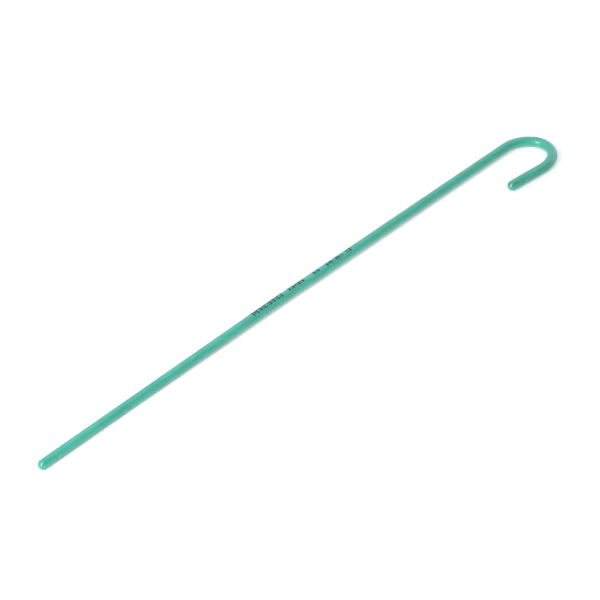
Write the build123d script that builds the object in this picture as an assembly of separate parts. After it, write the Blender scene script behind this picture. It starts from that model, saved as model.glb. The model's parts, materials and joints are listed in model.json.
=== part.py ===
from build123d import *
import os
from math import cos, sin, radians

# Malleable intubation stylet: an annealed aluminium rod inside a smooth plastic
# sheath, with a soft domed nose at the insertion end and a domed closing plug
# at the end of a hand hook. All sizes are in millimetres.
#
# Frame: the origin is the centre of the soft nose's dome. +X runs along the
# axis of the insertion end, from the nose towards the hook. The hook curls in
# the XY plane, towards -Y. +Z is up when the stylet lies flat.

# ---- sheath ----
SHEATH_OD = 4.7            # 14 Charriere
SHEATH_BORE = 3.0
EDGE_BREAK = 0.08          # outer edges that meet at each welded seam
BORE_CHAMFER = 0.20        # lead-in at each mouth of the bore

# ---- malleable core ----
CORE_CLEARANCE = 0.03      # radial room in the bore
CORE_DIAMETER = SHEATH_BORE - 2 * CORE_CLEARANCE
CORE_CHAMFER = 0.35        # deburred ends

# ---- domed ends: dome, full-diameter land, then a spigot that seats in the bore ----
BOND_CLEARANCE = 0.01      # radial room for the bond
SPIGOT_DIAMETER = SHEATH_BORE - 2 * BOND_CLEARANCE
SPIGOT_CHAMFER = 0.30
SPIGOT_ROOT_FILLET = 0.15  # where the spigot meets the land

NOSE_LAND = 6.0
NOSE_SPIGOT = 8.0
NOSE_CORE_GAP = 2.0        # free length between spigot and core

PLUG_LAND = 2.0
PLUG_SPIGOT = 5.0
PLUG_CORE_GAP = 1.0


# ---- centre-line, from dome centre to dome centre ----
def bend(radius, turn):
    """A stretch of the centre-line given by its radius and its turn in degrees."""
    return radius * radians(turn), turn


# (length, turn in degrees); turn > 0 curls towards -Y
STRETCHES = [
    (125.9, 0.0),          # straight from the insertion end
    (22.3, 1.27),          # first slight set
    (7.5, 0.0),
    (20.5, -0.48),         # second slight set, partly back again
    (108.6, 0.0),          # straight up to the hook
    bend(15.45, 52.0),     # the hook opens out of the shaft
    bend(9.2, 100.0),      # tight middle of the hook
    bend(18.15, 33.0),     # the hook eases into its return leg
    (18.05, 0.0),          # return leg
]
CENTRE_LENGTH = sum(length for length, _ in STRETCHES)

# Stations: developed lengths along the centre-line
NOSE_SEAM = NOSE_LAND
PLUG_SEAM = CENTRE_LENGTH - PLUG_LAND
CORE_START = NOSE_SEAM + NOSE_SPIGOT + NOSE_CORE_GAP
CORE_END = PLUG_SEAM - PLUG_SPIGOT - PLUG_CORE_GAP


def locate(station):
    """Point and heading of the centre-line at a station.

    The heading is in degrees, clockwise positive seen from +Z.
    """
    x = y = heading = 0.0
    remaining = station
    for length, turn in STRETCHES:
        travel = min(remaining, length)
        if turn == 0.0:
            x += travel * cos(radians(heading))
            y -= travel * sin(radians(heading))
        else:
            signed_radius = length / radians(turn)
            new_heading = heading + turn * travel / length
            x += signed_radius * (sin(radians(new_heading)) - sin(radians(heading)))
            y += signed_radius * (cos(radians(new_heading)) - cos(radians(heading)))
            heading = new_heading
        remaining -= travel
    return x, y, heading


def point_at(station):
    x, y, _ = locate(station)
    return x, y


def centre_line(start, end):
    """The wire of the centre-line between two stations."""
    edges = []
    stretch_start = 0.0
    for length, turn in STRETCHES:
        first = max(start, stretch_start)
        last = min(end, stretch_start + length)
        if last - first > 1e-6:
            if turn == 0.0:
                curve = Line(point_at(first), point_at(last))
            else:
                middle = (first + last) / 2
                curve = ThreePointArc(point_at(first), point_at(middle), point_at(last))
            edges.append(curve.edge())
        stretch_start += length
    return Wire(edges)


def plane_across(station, direction=1):
    """The plane across the centre-line; its Z points along the travel, or back for -1."""
    x, y, heading = locate(station)
    return Plane(
        origin=(x, y, 0),
        x_dir=(0, 0, 1),
        z_dir=(direction * cos(radians(heading)), -direction * sin(radians(heading)), 0),
    )


def rod(diameter, start, end):
    """A round bar that follows the centre-line between two stations."""
    return sweep(plane_across(start) * Circle(diameter / 2), path=centre_line(start, end))


def end_edges(shape, station, diameter):
    """The circular edges of that diameter centred at a station."""
    centre = Vector(*point_at(station), 0)
    return [
        edge
        for edge in shape.edges()
        if edge.geom_type == GeomType.CIRCLE
        and abs(edge.radius - diameter / 2) < 1e-3
        and (edge.arc_center - centre).length < 1e-3
    ]


def chamfer_ends(shape, diameter, start, end, size):
    """Chamfer the edges of one diameter at both ends."""
    edges = end_edges(shape, start, diameter) + end_edges(shape, end, diameter)
    return chamfer(edges, size)


def domed_end(land, spigot):
    """Dome centred on the origin and pointing to -Z, then a land and a spigot along +Z."""
    outer = SHEATH_OD / 2
    inner = SPIGOT_DIAMETER / 2
    root = SPIGOT_ROOT_FILLET
    tip = land + spigot
    sin_45 = sin(radians(45))

    # Half outline as (radius, height)
    axis_and_spigot = Polyline(
        (0, -outer),
        (0, tip),
        (inner - SPIGOT_CHAMFER, tip),
        (inner, tip - SPIGOT_CHAMFER),
        (inner, land + root),
    )
    root_arc = ThreePointArc(
        (inner, land + root),
        (inner + root * (1 - sin_45), land + root * (1 - sin_45)),
        (inner + root, land),
    )
    shoulder_and_land = Polyline(
        (inner + root, land),
        (outer - EDGE_BREAK, land),
        (outer, land - EDGE_BREAK),
        (outer, 0),
    )
    dome = ThreePointArc((outer, 0), (outer * sin_45, -outer * sin_45), (0, -outer))
    outline = (axis_and_spigot, root_arc, shoulder_and_land, dome)
    face = make_face([edge for part in outline for edge in part.edges()])
    return revolve(Plane.XZ * face, axis=Axis.Z)


def make_sheath():
    """A tube between the two seams."""
    ends = (NOSE_SEAM, PLUG_SEAM)
    tube = rod(SHEATH_OD, *ends) - rod(SHEATH_BORE, *ends)
    tube = chamfer_ends(tube, SHEATH_OD, *ends, EDGE_BREAK)
    return chamfer_ends(tube, SHEATH_BORE, *ends, BORE_CHAMFER)


def make_core():
    """The malleable rod, closed in by the two spigots."""
    ends = (CORE_START, CORE_END)
    return chamfer_ends(rod(CORE_DIAMETER, *ends), CORE_DIAMETER, *ends, CORE_CHAMFER)


def make_nose():
    return plane_across(0) * domed_end(NOSE_LAND, NOSE_SPIGOT)


def make_plug():
    """The same form as the nose, turned to face back along the return leg."""
    return plane_across(CENTRE_LENGTH, direction=-1) * domed_end(PLUG_LAND, PLUG_SPIGOT)


PARTS = {
    "sheath": make_sheath,
    "malleable_core": make_core,
    "soft_nose": make_nose,
    "hook_end_plug": make_plug,
}

os.makedirs("parts", exist_ok=True)
for name, make_part in PARTS.items():
    export_step(make_part().solid(), f"parts/{name}.step")
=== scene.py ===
"""A slim malleable rod: an aluminium core in a teal plastic sheath, with a domed soft nose at one end
and a domed plug at the other, where the rod turns back in a hook. Printed bars and dots mark its top.

The nose dome is centred on the origin. The rod runs along +X with its centre-line in the plane z = 0,
turns clockwise (seen from +Z) towards -Y, and its short return leg heads back towards -X.
The rod's dimensions are in mm; the scene, its floor, lights and camera are in metres.
"""
import json
import math
import random

import bmesh
import bpy
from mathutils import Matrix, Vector


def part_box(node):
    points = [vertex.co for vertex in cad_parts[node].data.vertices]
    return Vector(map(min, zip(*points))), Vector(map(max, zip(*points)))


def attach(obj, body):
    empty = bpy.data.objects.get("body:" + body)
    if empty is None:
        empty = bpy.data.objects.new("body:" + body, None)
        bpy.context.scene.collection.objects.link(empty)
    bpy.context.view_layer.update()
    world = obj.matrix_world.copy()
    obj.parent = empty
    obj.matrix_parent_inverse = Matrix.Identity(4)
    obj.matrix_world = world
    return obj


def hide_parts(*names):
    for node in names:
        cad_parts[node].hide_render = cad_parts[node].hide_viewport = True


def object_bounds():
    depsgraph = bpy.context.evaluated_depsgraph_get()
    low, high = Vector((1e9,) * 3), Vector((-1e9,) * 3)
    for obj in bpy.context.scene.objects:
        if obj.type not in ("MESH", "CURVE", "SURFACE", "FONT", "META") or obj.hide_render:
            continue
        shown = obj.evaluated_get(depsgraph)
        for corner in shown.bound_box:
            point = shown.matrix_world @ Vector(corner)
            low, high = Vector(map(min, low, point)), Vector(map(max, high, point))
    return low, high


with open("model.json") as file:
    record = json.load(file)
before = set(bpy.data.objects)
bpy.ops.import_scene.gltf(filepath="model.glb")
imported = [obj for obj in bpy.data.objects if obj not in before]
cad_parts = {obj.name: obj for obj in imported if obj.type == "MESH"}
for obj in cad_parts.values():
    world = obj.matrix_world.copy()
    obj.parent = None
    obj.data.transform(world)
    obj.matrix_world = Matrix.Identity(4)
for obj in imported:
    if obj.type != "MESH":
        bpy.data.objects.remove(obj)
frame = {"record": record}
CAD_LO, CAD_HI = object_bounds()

random.seed(7)
scene = bpy.context.scene
MM = 0.001

# ---------------------------------------------------------------- driving dimensions, mm


def half_height(node):
    """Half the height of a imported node's box, which is the radius of a round piece lying flat."""
    low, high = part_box(node)
    return round((high.z - low.z) / 2 / MM, 3)


ROD_R = half_height("sheath")                # outside of the sheath
CORE_R = half_height("malleable_core")
BORE_R = 1.50
SPIGOT_R = 1.49

# The centre-line, from the nose: length, turn in degrees (clockwise positive)
STRETCHES = [
    (125.9, 0.0), (22.3, 1.27), (7.5, 0.0), (20.5, -0.48), (108.6, 0.0),
    (15.45 * math.radians(52.0), 52.0),
    (9.2 * math.radians(100.0), 100.0),
    (18.15 * math.radians(33.0), 33.0),
    (18.05, 0.0),
]
LENGTH = sum(length for length, _ in STRETCHES)
HOOK_START = sum(length for length, _ in STRETCHES[:5])
HOOK_END = LENGTH - STRETCHES[-1][0]         # the straight return leg starts here

# Stations: lengths along the centre-line
NOSE_SEAM, NOSE_SPIGOT_END = 6.0, 14.0
PLUG_SEAM, PLUG_SPIGOT_END = LENGTH - 2.0, LENGTH - 7.0
CORE_START, CORE_END = 16.0, LENGTH - 8.0

ROD_SEGMENTS = 72
CORE_SEGMENTS = 64
BEND_STEP = 0.4                              # between rings in the hook
SKIN_STEP, BORE_STEP = 1.6, 3.2              # between rings elsewhere


# ---------------------------------------------------------------- centre-line
def centre_line(station):
    """Point (mm) and heading (degrees, clockwise positive) of the centre-line at a station.
    Stations before the start or past the end carry on along the first or last stretch."""
    x = y = heading = 0.0
    left = station
    for k, (length, turn) in enumerate(STRETCHES):
        last = k == len(STRETCHES) - 1
        go = left if last or left < 0 else min(left, length)
        if turn == 0.0:
            x += go * math.cos(math.radians(heading))
            y -= go * math.sin(math.radians(heading))
        else:
            bend_r = length / math.radians(turn)
            turned = heading + turn * go / length
            x += bend_r * (math.sin(math.radians(turned)) - math.sin(math.radians(heading)))
            y += bend_r * (math.cos(math.radians(turned)) - math.cos(math.radians(heading)))
            heading = turned
        left -= go
        if left <= 1e-9:
            break
    return x, y, heading


def curvature(station):
    """Signed curvature (1/mm) of the centre-line, eased at each change of stretch."""
    ease = 3.0
    total = start = 0.0
    for length, turn in STRETCHES:
        if turn:
            entering = (station - start) / ease
            leaving = (start + length - station) / ease
            weight = (max(0.0, min(1.0, 0.5 + entering / 2))
                      * max(0.0, min(1.0, 0.5 + leaving / 2)))
            total += math.radians(turn) / length * weight
        start += length
    return total


def place(station, across, up):
    """A point in metres: at a station, `across` mm to the left of travel and `up` mm above."""
    x, y, heading = centre_line(station)
    sine, cosine = math.sin(math.radians(heading)), math.cos(math.radians(heading))
    return ((x + across * sine) * MM, (y + across * cosine) * MM, up * MM)


def stations_between(start, end, step):
    """Stations from start to end, closer together round the hook."""
    stations, station = [start], start
    while station < end - 1e-6:
        in_hook = HOOK_START - 2.0 <= station <= HOOK_END + 2.0
        stride = BEND_STEP if in_hook else step
        station = station + stride
        if station > end - 0.45 * stride:
            station = end
        stations.append(station)
    return stations


# ---------------------------------------------------------------- surface unevenness
WAVES = {}


def wave(x, y, seed):
    """A smooth, seeded, dimensionless ripple, mostly between -1 and 1."""
    if seed not in WAVES:
        rng = random.Random(seed)
        WAVES[seed] = [(rng.uniform(0.04, 0.28), rng.choice((0, 1, 1, 2, 3)), rng.uniform(0, 6.283))
                       for _ in range(5)]
    return sum(math.sin(rate_x * x + rate_y * y + phase)
               for rate_x, rate_y, phase in WAVES[seed]) / 3.2


def skin(station, angle, radius):
    """How far the outer skin departs from a true cylinder, in mm: extrusion ripple, and a slight
    flattening in the bends (wider out of the bend's plane, thinner in it). The bore stays true."""
    if radius < 2.0:
        return 0.0
    oval = 0.27 * abs(curvature(station)) * math.cos(2 * angle)
    ripple = 0.006 * wave(station, angle, 11) + 0.004 * wave(station * 0.23, angle, 12)
    fade = 4.0                               # dies away over this length at each seam
    edge = (min(1.0, max(0.0, (station - NOSE_SEAM) / fade))
            * min(1.0, max(0.0, (PLUG_SEAM - station) / fade)))
    return (oval + ripple) * edge


# ---------------------------------------------------------------- mesh building
def new_piece(name, verts, faces, rod_mm, smooth_angle=32.0):
    """rod_mm holds each vertex's place on the straightened rod: station, across, up."""
    mesh = bpy.data.meshes.new(name)
    bm = bmesh.new()
    layer = bm.verts.layers.float_vector.new("rod_mm")
    made = [bm.verts.new(point) for point in verts]
    for vert, rod_point in zip(made, rod_mm):
        vert[layer] = rod_point
    for face in faces:
        bm.faces.new([made[i] for i in face])
    bmesh.ops.recalc_face_normals(bm, faces=bm.faces)
    bm.to_mesh(mesh)
    bm.free()
    mesh.shade_smooth()
    mesh.set_sharp_from_angle(angle=math.radians(smooth_angle))
    piece = bpy.data.objects.new(name, mesh)
    scene.collection.objects.link(piece)
    return piece


def swept(name, profile, segments, closed=False, uneven=None):
    """Sweeps rings along the centre-line. profile lists (station, radius); radius 0 is a pole.
    closed joins the last ring to the first, as for a tube with a bore."""
    verts, rod_mm, rings = [], [], []
    for station, radius in profile:
        if radius == 0:
            rings.append([len(verts)])
            verts.append(place(station, 0, 0))
            rod_mm.append((station, 0, 0))
            continue
        ring = []
        for k in range(segments):
            angle = 2 * math.pi * k / segments
            sine, cosine = math.sin(angle), math.cos(angle)
            actual = radius + (uneven(station, angle, radius) if uneven else 0.0)
            ring.append(len(verts))
            verts.append(place(station, actual * sine, actual * cosine))
            rod_mm.append((station, radius * sine, radius * cosine))
        rings.append(ring)
    pairs = list(zip(rings, rings[1:]))
    if closed:
        pairs.append((rings[-1], rings[0]))
    faces = []
    for one, two in pairs:
        for k in range(segments):
            n = (k + 1) % segments
            if len(one) == 1:
                faces.append((one[0], two[n], two[k]))
            elif len(two) == 1:
                faces.append((one[k], one[n], two[0]))
            else:
                faces.append((one[k], one[n], two[n], two[k]))
    return new_piece(name, verts, faces, rod_mm)


# A fine rounded groove where each end piece meets the sheath: distance from the seam, depth
GROOVE = [(0.00, 0.060), (0.015, 0.046), (0.035, 0.028), (0.06, 0.013), (0.09, 0.004), (0.14, 0.0)]


def build_sheath():
    """Outer skin, lip, bore and lip as one closed tube."""
    lip = 0.20
    profile = [(NOSE_SEAM + gap, ROD_R - depth) for gap, depth in GROOVE]
    profile += [(station, ROD_R)
                for station in stations_between(NOSE_SEAM + 0.5, PLUG_SEAM - 0.5, SKIN_STEP)]
    profile += [(PLUG_SEAM - gap, ROD_R - depth) for gap, depth in reversed(GROOVE)]
    profile += [(PLUG_SEAM, BORE_R + lip), (PLUG_SEAM - lip, BORE_R)]
    bore = stations_between(NOSE_SEAM + 0.6, PLUG_SEAM - 0.6, BORE_STEP)
    profile += [(station, BORE_R) for station in reversed(bore)]
    profile += [(NOSE_SEAM + lip, BORE_R), (NOSE_SEAM, BORE_R + lip)]
    return swept("sheath_skin", profile, ROD_SEGMENTS, closed=True, uneven=skin)


def build_end_piece(name, dome_at, seam, spigot_end):
    """A domed end: hemisphere centred at dome_at, full-diameter land, rounded seam edge, shoulder,
    root fillet, and a spigot with a chamfered end."""
    clearance, root, chamfer = 0.004, 0.15, 0.30
    hole_r = 0.55                            # last ring on the spigot's flat end
    way = 1 if seam > dome_at else -1
    profile = [(dome_at - way * ROD_R, 0)]
    for i in range(1, 25):
        angle = math.radians(90 * i / 24)
        profile.append((dome_at - way * ROD_R * math.cos(angle), ROD_R * math.sin(angle)))
    land = abs(seam - dome_at)
    steps = max(3, int(land / 0.5))
    for i in range(1, steps):
        profile.append((dome_at + way * (land - 0.2) * i / steps, ROD_R))
    profile += [(seam - way * (gap + clearance), ROD_R - depth) for gap, depth in reversed(GROOVE)]
    for i in range(5):
        angle = math.radians(90 * i / 4)
        profile.append((seam - way * clearance + way * root * (1 - math.cos(angle)),
                        SPIGOT_R + root * (1 - math.sin(angle))))
    length = abs(spigot_end - seam)
    steps = max(3, int(length / 0.8))
    for i in range(1, steps):
        profile.append((seam + way * (root + (length - root - chamfer) * i / steps), SPIGOT_R))
    profile += [(spigot_end - way * chamfer, SPIGOT_R), (spigot_end, SPIGOT_R - chamfer),
                (spigot_end, hole_r), (spigot_end, 0)]
    return swept(name, profile, ROD_SEGMENTS)


def build_core():
    """A drawn rod with rounded-off, very slightly dished ends."""
    # distance in from the end, radius
    tip = [(0.10, 0), (0.06, 0.5), (0.0, 0.95), (0.02, 1.05), (0.14, 1.25), (0.35, CORE_R)]
    profile = [(CORE_START + inset, radius) for inset, radius in tip]
    profile += [(station, CORE_R)
                for station in stations_between(CORE_START + 1.2, CORE_END - 1.2, BORE_STEP)]
    profile += [(CORE_END - inset, radius) for inset, radius in reversed(tip)]
    return swept("core_rod", profile, CORE_SEGMENTS)


# ---------------------------------------------------------------- print
INK_LIFT = 0.016                             # top of the film above the skin
INK_RIM_LIFT = INK_LIFT * 0.45               # the film thins at its edges
INK_SINK = -0.02                             # underside, inside the skin

# first station, last station, middle in mm round from the top line, height round the rod, marks
GROUPS = [
    (120.8, 139.1, 0.10, 2.50, "B d B D B b B = b B d B b B D B"),
    (142.9, 152.4, 0.12, 1.85, "B = B d b B D B"),
    (158.1, 161.9, 0.10, 1.70, "B b B"),
    (166.2, 176.6, 0.04, 1.90, "B d B b = B B D b"),
    (178.4, 181.6, 0.02, 2.00, "b D B"),
]
# Bars and dashes: offsets of the patches and their height, in group heights; width, in pitches
BARS = {
    "B": ((0.0,), 1.0, 0.68),                # tall wide bar
    "b": ((0.0,), 1.0, 0.36),                # tall thin bar
    "d": ((0.0,), 0.60, 0.56),               # short bar in the middle
    "=": ((-0.30, 0.30), 0.24, 0.56),        # two stacked dashes
}
DOT_OFFSETS, DOT_SIZE, DOT_CORNER = (-0.27, 0.27), 0.72, 0.35    # "D": two stacked dots


def ink_patch(verts, faces, rod_mm, station_mid, round_mid, width, height, corner=0.09):
    """Adds one closed patch, width along the rod and height around it, with rounded corners and
    slightly uneven edges."""
    corner = min(corner, width * 0.45, height * 0.45)
    rows = max(8, int(height / 0.10))
    columns = max(3, int(width / 0.14))
    grid = []
    for j in range(rows + 1):
        y = -height / 2 + height * j / rows
        over = abs(y) - (height / 2 - corner)
        half = width / 2
        if over > 0:
            half = width / 2 - corner + math.sqrt(max(0.0, corner * corner - over * over))
        for i in range(columns + 1):
            x = -half + 2 * half * i / columns
            rough = (0.018 * wave((station_mid + y) * 23, (round_mid + x) * 5, 31)
                     * abs(2 * i / columns - 1))
            rim = j in (0, rows) or i in (0, columns)
            grid.append((station_mid + x + rough, round_mid + y + rough, rim))
    base = len(verts)
    for lift, rim_lift in ((INK_LIFT, INK_RIM_LIFT), (INK_SINK, INK_SINK)):
        for station, round_from_top, rim in grid:
            angle = round_from_top / ROD_R
            sine, cosine = math.sin(angle), math.cos(angle)
            radius = ROD_R + skin(station, angle, ROD_R) + (rim_lift if rim else lift)
            verts.append(place(station, radius * sine, radius * cosine))
            rod_mm.append((station, ROD_R * sine, ROD_R * cosine))
    row = columns + 1
    under = row * (rows + 1)                 # from a top vertex to the one beneath it
    for j in range(rows):
        for i in range(columns):
            first = base + j * row + i
            quad = (first, first + 1, first + 1 + row, first + row)
            faces.append(quad)
            faces.append(tuple(quad[k] + under for k in (0, 3, 2, 1)))
    rim = [j * row for j in range(rows)] + [rows * row + i for i in range(columns)]
    rim += [j * row + columns for j in range(rows, 0, -1)] + list(range(columns, 0, -1))
    for k, corner_index in enumerate(rim):
        one, two = base + corner_index, base + rim[(k + 1) % len(rim)]
        faces.append((one, two, two + under, one + under))


def build_print():
    """Five groups of bars, dots and short dashes along the top of the rod."""
    lists = verts, faces, rod_mm = [], [], []
    for start, end, middle, tall, marks in GROUPS:
        marks = marks.split()
        pitch = (end - start) / len(marks)
        for n, mark in enumerate(marks):
            station = start + pitch * (n + 0.5)
            if mark == "D":
                for offset in DOT_OFFSETS:
                    ink_patch(*lists, station, middle + offset * tall,
                              DOT_SIZE, DOT_SIZE, corner=DOT_CORNER)
            else:
                offsets, height, width = BARS[mark]
                for offset in offsets:
                    ink_patch(*lists, station, middle + offset * tall, pitch * width, tall * height)
    return new_piece("print_marks", verts, faces, rod_mm, smooth_angle=60.0)


sheath = build_sheath()
nose = build_end_piece("soft_nose_tip", 0.0, NOSE_SEAM, NOSE_SPIGOT_END)
plug = build_end_piece("hook_end_cap", LENGTH, PLUG_SEAM, PLUG_SPIGOT_END)
core = build_core()
ink = build_print()


# ---------------------------------------------------------------- node trees
class Tree:
    """A short way to write the nodes of a material or a world."""

    def __init__(self, owner):
        self.owner = owner
        owner.use_nodes = True
        owner.node_tree.nodes.clear()

    def node(self, kind, inputs=None, **props):
        """Adds a node. inputs maps socket names or numbers to values or to output sockets."""
        tree = self.owner.node_tree
        node = tree.nodes.new(kind)
        for key, value in props.items():
            setattr(node, key, value)
        for key, value in (inputs or {}).items():
            if hasattr(value, "is_output"):
                tree.links.new(value, node.inputs[key])
            else:
                node.inputs[key].default_value = value
        return node

    def ramp(self, value, between, gives=(0.0, 1.0)):
        """Eases from gives[0] to gives[1] as value crosses the range `between`."""
        return self.node("ShaderNodeMapRange", {
            "Value": value, "From Min": between[0], "From Max": between[1],
            "To Min": gives[0], "To Max": gives[1],
        }, interpolation_type="SMOOTHSTEP").outputs["Result"]

    def maths(self, operation, first, second=0.0, *more):
        """Applies an operation to two values, and its result to each further one in turn."""
        result = self.node("ShaderNodeMath", {0: first, 1: second}, operation=operation).outputs[0]
        return self.maths(operation, result, *more) if more else result

    def times(self, *values):
        return self.maths("MULTIPLY", *values)

    def plus(self, *values):
        return self.maths("ADD", *values)

    def vector(self, operation, inputs):
        return self.node("ShaderNodeVectorMath", inputs, operation=operation)

    def split(self, vector):
        return self.node("ShaderNodeSeparateXYZ", {0: vector}).outputs

    def blend(self, factor, one, two):
        return self.node("ShaderNodeMix", {"Factor": factor, "A": one, "B": two},
                         data_type="RGBA").outputs["Result"]

    def finish(self, output_kind, seen, unseen):
        """Ends the tree: the camera sees one shader and every other ray meets another."""
        camera_ray = self.node("ShaderNodeLightPath").outputs["Is Camera Ray"]
        mix = self.node("ShaderNodeMixShader",
                        {"Fac": camera_ray, 1: unseen.outputs[0], 2: seen.outputs[0]})
        self.node(output_kind, {"Surface": mix.outputs[0]})


class RodTree(Tree):
    """A Principled material patterned in the straightened rod's coordinates, mm."""

    def __init__(self, name):
        super().__init__(bpy.data.materials.new(name))
        self.rod = self.node("ShaderNodeAttribute", attribute_name="rod_mm").outputs["Vector"]

    def stretched(self, along, around):
        """Rod coordinates scaled along and around, so that patterns can be drawn out."""
        return self.node("ShaderNodeMapping",
                         {"Vector": self.rod, "Scale": (along, around, around)}).outputs[0]

    def noise(self, along=1.0, around=1.0, scale=1.0, detail=3.0, roughness=0.55, distortion=0.0):
        return self.node("ShaderNodeTexNoise", {
            "Vector": self.stretched(along, around), "Scale": scale, "Detail": detail,
            "Roughness": roughness, "Distortion": distortion}).outputs["Fac"]

    def spots(self, scale, size):
        """1 at scattered small spots and 0 between them."""
        cells = self.node("ShaderNodeTexVoronoi",
                          {"Vector": self.stretched(1.0, 1.0), "Scale": scale}, feature="F1")
        return self.ramp(cells.outputs["Distance"], between=(size * 0.55, size), gives=(1.0, 0.0))

    def bump(self, height, distance, strength, normal=None):
        inputs = {"Height": height, "Strength": strength, "Distance": distance}
        if normal is not None:
            inputs["Normal"] = normal
        return self.node("ShaderNodeBump", inputs).outputs["Normal"]

    def principled(self, inputs):
        shader = self.node("ShaderNodeBsdfPrincipled", inputs)
        self.node("ShaderNodeOutputMaterial", {"Surface": shader.outputs[0]})
        return self.owner


def rgb(base, *gains):
    """The base colour times one gain, or times a gain each for red, green and blue."""
    return tuple(c * gain for c, gain in zip(base[:3], gains * 3)) + (1.0,)


# ---------------------------------------------------------------- materials
def teal_plastic(name, base, roughness, subsurface, drawn, bend_pale, haze, gloss=0.0):
    """Coloured plastic. drawn: 1 for an extrusion's draw lines, 0 for a moulding's fine texture.
    bend_pale: paling round the hook. haze: a waxy bloom that greys the rims. gloss: clear coat."""
    tree = RodTree(name)
    ramp, times = tree.ramp, tree.times
    # 5-10 mm clouds of pigment, streaks along the rod, sub-millimetre grain, stray specks, scuffs
    cloud = tree.noise(along=0.12, around=0.30)
    streak = tree.noise(along=0.035, around=3.4, detail=4.0, roughness=0.6)
    grain = tree.noise(scale=2.6, detail=4.0, roughness=0.6)
    speck = tree.spots(scale=0.55, size=0.085)
    scuff = ramp(tree.noise(along=0.5, around=1.6, detail=6.0, roughness=0.62, distortion=0.6),
                 between=(0.60, 0.74))
    # Patches of hair-fine scratches, about a centimetre long and slightly off the rod's direction
    hair = ramp(tree.noise(along=0.055, around=6.5, detail=2.0, roughness=0.5, distortion=0.35),
                between=(0.497, 0.503))
    hair = times(hair, tree.maths("SUBTRACT", 1.0, hair))
    patchy = ramp(tree.noise(along=0.09, around=0.5, detail=2.0), between=(0.55, 0.64))
    scratch = times(hair, 4.0, patchy)

    colour = tree.blend(ramp(cloud, between=(0.32, 0.68)), rgb(base, 0.89), rgb(base, 1.09))
    colour = tree.blend(times(ramp(streak, between=(0.38, 0.66)), 0.45 * drawn + 0.06),
                        colour, rgb(base, 1.50, 1.10, 1.14))
    colour = tree.blend(times(grain, 0.16), colour, rgb(base, 0.74))
    colour = tree.blend(times(speck, 0.50), colour, rgb(base, 0.38))
    if bend_pale:                            # stretched plastic pales on the outside of the hook
        station, across, _ = tree.split(tree.rod)
        in_hook = times(ramp(station, between=(HOOK_START, HOOK_START + 12)),
                        ramp(station, between=(HOOK_END - 12, HOOK_END), gives=(1.0, 0.0)))
        outside = ramp(across, between=(0.2, ROD_R))
        colour = tree.blend(times(in_hook, outside, bend_pale), colour, rgb(base, 2.4, 1.18, 1.25))
    colour = tree.blend(times(scuff, 0.16), colour, rgb(base, 3.0, 1.15, 1.25))
    colour = tree.blend(times(scratch, 0.30), colour, rgb(base, 3.6, 1.12, 1.25))

    rough = tree.plus(roughness - 0.05, times(grain, 0.07),
                      times(ramp(streak, between=(0.35, 0.7)), 0.06 * (drawn + 0.2)),
                      times(scuff, 0.12), times(scratch, 0.10))
    peel = tree.noise(scale=1.1, detail=2.0, roughness=0.5)
    normal = tree.bump(peel, distance=0.000012, strength=0.8)
    if drawn:
        lines = tree.noise(along=0.012, around=9.0, detail=4.0, roughness=0.65)
        normal = tree.bump(lines, distance=0.000010 * drawn, strength=0.9, normal=normal)
    normal = tree.bump(grain, distance=0.000002, strength=0.6, normal=normal)
    return tree.principled({
        "Base Color": colour,
        "Roughness": rough,
        "Normal": normal,
        "IOR": 1.50,
        "Specular IOR Level": 0.85,
        "Sheen Weight": haze,
        "Sheen Roughness": 0.38,
        "Coat Weight": gloss,
        "Coat Roughness": 0.06,
        "Subsurface Weight": subsurface,
        "Subsurface Radius": (0.35, 1.0, 0.8),
        "Subsurface Scale": 0.0007,
    })


def aluminium(name, base):
    """Drawn metal: fine lines along the rod, with cloudy and dull patches."""
    tree = RodTree(name)
    lines = tree.noise(along=0.02, around=11.0, detail=5.0, roughness=0.68)
    cloud = tree.noise(along=0.2, around=0.8)
    dull = tree.ramp(tree.noise(along=0.6, around=1.2, detail=5.0), between=(0.5, 0.7))
    colour = tree.blend(tree.ramp(lines, between=(0.35, 0.65)), rgb(base, 0.86), rgb(base, 1.0))
    colour = tree.blend(tree.times(tree.ramp(cloud, between=(0.4, 0.65)), 0.35),
                        colour, rgb(base, 0.80, 0.80, 0.82))
    return tree.principled({
        "Base Color": colour,
        "Metallic": 1.0,
        "Roughness": tree.plus(0.30, tree.times(lines, 0.16), tree.times(dull, 0.14)),
        "Anisotropic": 0.5,
        "Normal": tree.bump(lines, distance=0.000008, strength=0.9),
    })


def printed_ink(name, base, under):
    """A grainy film; `under` shows where it is thin and through its pin-holes."""
    tree = RodTree(name)
    grain = tree.noise(scale=5.5, detail=4.0, roughness=0.65)
    thin = tree.ramp(tree.noise(scale=2.3, detail=4.0, roughness=0.6), between=(0.52, 0.72))
    hole = tree.spots(scale=3.2, size=0.16)
    colour = tree.blend(grain, rgb(base, 0.5), rgb(base, 1.1))
    colour = tree.blend(tree.times(thin, 0.22), colour, rgb(under, 0.55))
    colour = tree.blend(tree.times(hole, 0.55), colour, rgb(under, 0.9))
    return tree.principled({
        "Base Color": colour,
        "Roughness": tree.plus(0.42, tree.times(grain, 0.22)),
        "Normal": tree.bump(grain, distance=0.000006, strength=0.8),
        "IOR": 1.45,
    })


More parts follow.
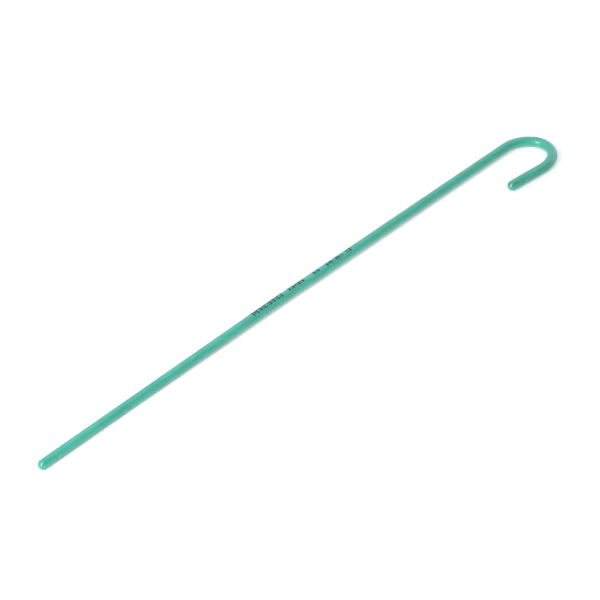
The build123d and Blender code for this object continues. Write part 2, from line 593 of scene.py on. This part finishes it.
RECORD = {entry["slot"]: entry["base_color"] for entry in frame["record"]["materials"]}
TEAL = (0.049, 0.428, 0.322)
MATERIALS = {
    "sheath_teal": teal_plastic("sheath_teal", TEAL, roughness=0.31, subsurface=0.15,
                                drawn=1.0, bend_pale=0.25, haze=0.50),
    "nose_teal": teal_plastic("nose_teal", rgb(TEAL, 1.05, 1.02, 1.03), roughness=0.13,
                              subsurface=0.28, drawn=0.0, bend_pale=0.0, haze=0.40),
    "plug_teal": teal_plastic("plug_teal", TEAL, roughness=0.12, subsurface=0.18,
                              drawn=0.0, bend_pale=0.0, haze=0.30, gloss=0.60),
    "core_aluminium": aluminium("core_aluminium", RECORD["core_aluminium"]),
    "print_ink": printed_ink("print_ink", RECORD["print_ink"], under=RECORD["sheath_teal"]),
}

for piece, slot, nodes in (
    (sheath, "sheath_teal", ("sheath",)),
    (nose, "nose_teal", ("soft_nose",)),
    (plug, "plug_teal", ("hook_end_plug",)),
    (core, "core_aluminium", ("malleable_core",)),
    (ink, "print_ink", ()),
):
    piece.data.materials.append(MATERIALS[slot])
    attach(piece, "root")
    if nodes:
        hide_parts(*nodes)

# ---------------------------------------------------------------- floor, metres
# A pale matt sheet with light coming up through it. The light falls away from the nose end, so the
# rod's shadow is washed out at the nose, faint along the middle and plain beside the return leg.
SHEET_COLOUR = rgb((1.00, 0.94, 0.97), 0.80)     # faintly pink: shadows by the green rod stay grey
# Light through the sheet, as the camera sees it
LIFT_NOSE, LIFT_MIDDLE, LIFT_FAR, LIFT_LEG = 0.64, 0.31, 0.36, 0.35
LIFT_AWAY = 1.10                                 # well away from the rod, where it is plain white
LEG_TINT, LIFT_TINT = (0.84, 1.06, 1.10, 1), (1.00, 0.90, 0.94, 1)    # beside the leg, elsewhere
# Light the sheet sends to the rod: at the nose, further along, beyond the leg, and in a narrow
# strip beside the leg, for its lower rim
SEND_NOSE, SEND_FAR, SEND_LEG, SEND_EDGE = 0.60, 0.72, 0.0, 0.45
SEND_TINT = (1.10, 0.96, 1.00, 1)
BOUNCE_COLOUR = (0.45, 0.45, 0.45, 1)
WHITE = (1, 1, 1, 1)
LEG_Y = (-0.0223, -0.0100)                       # leg values change to the rest across this y
# The lit area is an oval round the rod, 0.45 as wide in y as it is long in x
OVAL_MIDDLE, OVAL_SQUEEZE, OVAL_EDGE = (0.150, -0.010, 0.0), (0.45, 1.0, 0.0), (0.085, 0.160)


def add_shaders(tree, diffuse, emission, strength):
    """A diffuse shader plus an emission."""
    matt = tree.node("ShaderNodeBsdfDiffuse", {"Color": diffuse})
    glow = tree.node("ShaderNodeEmission", {"Color": emission, "Strength": strength})
    return tree.node("ShaderNodeAddShader", {0: matt.outputs[0], 1: glow.outputs[0]})


def floor_material():
    tree = Tree(bpy.data.materials.new("stage_floor"))
    ramp = tree.ramp
    position = tree.node("ShaderNodeNewGeometry").outputs["Position"]
    x, y, _ = tree.split(position)

    lift = ramp(x, between=(0.030, 0.120), gives=(LIFT_NOSE, LIFT_MIDDLE))
    lift = ramp(x, between=(0.190, 0.270), gives=(lift, LIFT_FAR))
    lift = ramp(y, between=LEG_Y, gives=(LIFT_LEG, lift))
    offset = tree.vector("SUBTRACT", {0: position, 1: OVAL_MIDDLE})
    squeezed = tree.vector("MULTIPLY", {0: offset.outputs[0], 1: OVAL_SQUEEZE})
    distance = tree.vector("LENGTH", {0: squeezed.outputs[0]}).outputs["Value"]
    away = ramp(distance, between=OVAL_EDGE)
    lift = ramp(away, between=(0.0, 1.0), gives=(lift, LIFT_AWAY))
    tint = tree.blend(ramp(y, between=LEG_Y), LEG_TINT, LIFT_TINT)
    seen = add_shaders(tree, SHEET_COLOUR, tree.blend(away, tint, WHITE), lift)

    along_rod = ramp(x, between=(0.030, 0.200), gives=(SEND_NOSE, SEND_FAR))
    by_leg = ramp(y, between=(-0.0350, -0.0290), gives=(SEND_LEG, SEND_EDGE))
    send = ramp(y, between=LEG_Y, gives=(by_leg, along_rod))
    unseen = add_shaders(tree, BOUNCE_COLOUR, SEND_TINT, send)
    tree.finish("ShaderNodeOutputMaterial", seen, unseen)
    return tree.owner


def build_floor():
    mesh = bpy.data.meshes.new("stage_floor")
    bm = bmesh.new()
    bmesh.ops.create_grid(bm, x_segments=8, y_segments=8, size=4.0)
    bm.to_mesh(mesh)
    bm.free()
    floor = bpy.data.objects.new("stage_floor", mesh)
    floor.location = (0.15, 0.0, CAD_LO.z)
    scene.collection.objects.link(floor)
    floor.data.materials.append(floor_material())


build_floor()

# ---------------------------------------------------------------- world
# A white tent with a wide dim opening in front, where the camera stands. The opening is a band:
# GAP_AT is its direction round the X axis, measured from +Y towards +Z, in degrees.
GAP_AT = math.radians(131.0)
GAP_IN, GAP_OUT = math.radians(15.0), math.radians(44.0)      # from its middle: dim, fully bright
GAP_ENDS = (0.72, 0.92)                                       # the band closes between these |x|
SIDE_SHARE, BACK_SHARE, HOOK_SHARE = 0.60, 0.90, 1.90         # nose-side, far, hook-side walls
TENT_DIM, TENT_BRIGHT = 0.09, 0.76
TENT_SEEN = 1.1                                               # as the camera sees it


def build_tent():
    world = bpy.data.worlds.new("tent")
    scene.world = world
    tree = Tree(world)
    ramp, maths, times = tree.ramp, tree.maths, tree.times
    # Incoming points back along the ray, so its signs are opposite to the wall's direction.
    back = tree.node("ShaderNodeNewGeometry").outputs["Incoming"]
    gap_way = (0.0, -math.cos(GAP_AT), -math.sin(GAP_AT))
    toward_gap = tree.vector("DOT_PRODUCT", {0: back, 1: gap_way}).outputs["Value"]
    back_x, back_y, _ = tree.split(back)
    girth = maths("SQRT", maths("MAXIMUM", maths("SUBTRACT", 1.0, times(back_x, back_x)), 1e-4))
    in_band = ramp(maths("DIVIDE", toward_gap, girth),
                   between=(math.cos(GAP_OUT), math.cos(GAP_IN)))
    in_gap = times(in_band, ramp(maths("ABSOLUTE", back_x), between=GAP_ENDS, gives=(1.0, 0.0)))
    open_share = maths("SUBTRACT", 1.0, times(in_gap, 1.0 - TENT_DIM / TENT_BRIGHT))
    wall_share = times(ramp(back_x, between=(0.20, 0.75), gives=(1.0, SIDE_SHARE)),
                       ramp(back_y, between=(-0.95, -0.10), gives=(BACK_SHARE, 1.0)),
                       ramp(back_x, between=(-0.95, -0.58), gives=(HOOK_SHARE, 1.0)))
    strength = times(times(open_share, wall_share), TENT_BRIGHT)
    unseen = tree.node("ShaderNodeBackground", {"Color": WHITE, "Strength": strength})
    seen = tree.node("ShaderNodeBackground", {"Color": WHITE, "Strength": TENT_SEEN})
    tree.finish("ShaderNodeOutputWorld", seen, unseen)


build_tent()


# ---------------------------------------------------------------- lights and camera
def area_light(name, location, aim, size, size_y, watts):
    data = bpy.data.lights.new(name, "AREA")
    data.shape = "RECTANGLE"
    data.size, data.size_y, data.energy = size, size_y, watts
    light = bpy.data.objects.new(name, data)
    light.location = location
    light.rotation_euler = (Vector(aim) - Vector(location)).to_track_quat("-Z", "Y").to_euler()
    scene.collection.objects.link(light)
    return light


# One tall soft window off the nose end
area_light("window_nose_side", location=(-0.706, -0.075, 0.590), aim=(0.10, 0.0, 0.0),
           size=0.26, size_y=1.00, watts=8.0)
# A soft overhead key on the camera's side; hidden from glossy rays, it draws no line along the rod.
key = area_light("overhead_key", location=(-0.16, -0.30, 0.72), aim=(0.05, 0.0, 0.0),
                 size=0.50, size_y=0.50, watts=2.3)
key.visible_glossy = False

TARGET = Vector((0.1433, -0.0067, 0.0))
AZIMUTH, ELEVATION = math.radians(47.42), math.radians(40.0)    # of the view, clockwise from +Y
DISTANCE = 1.2080
HALF_VIEW = math.radians(6.0)
SHIFT = 0.00021160986                        # the camera's shift, both left and up, in metres


def build_camera():
    """Looks down at the rod from the -X, -Y side."""
    camera = bpy.data.cameras.new("camera")
    camera.sensor_width = 36.0
    camera.lens = camera.sensor_width / 2 / math.tan(HALF_VIEW)
    camera.clip_start, camera.clip_end = 0.02, 50.0
    back = Vector((-math.sin(AZIMUTH) * math.cos(ELEVATION),
                   -math.cos(AZIMUTH) * math.cos(ELEVATION),
                   math.sin(ELEVATION)))
    right = Vector((math.cos(AZIMUTH), -math.sin(AZIMUTH), 0.0))
    up = back.cross(right)
    holder = bpy.data.objects.new("camera", camera)
    holder.location = TARGET + back * DISTANCE - right * SHIFT + up * SHIFT
    holder.rotation_euler = (-back).to_track_quat("-Z", "Y").to_euler()
    scene.collection.objects.link(holder)
    scene.camera = holder


build_camera()

view = scene.view_settings
view.view_transform = "Standard"
view.look = "None"
view.exposure = 0.0
view.gamma = 1.0

# ---------------------------------------------------------------- final update of the scene
bpy.context.view_layer.update()
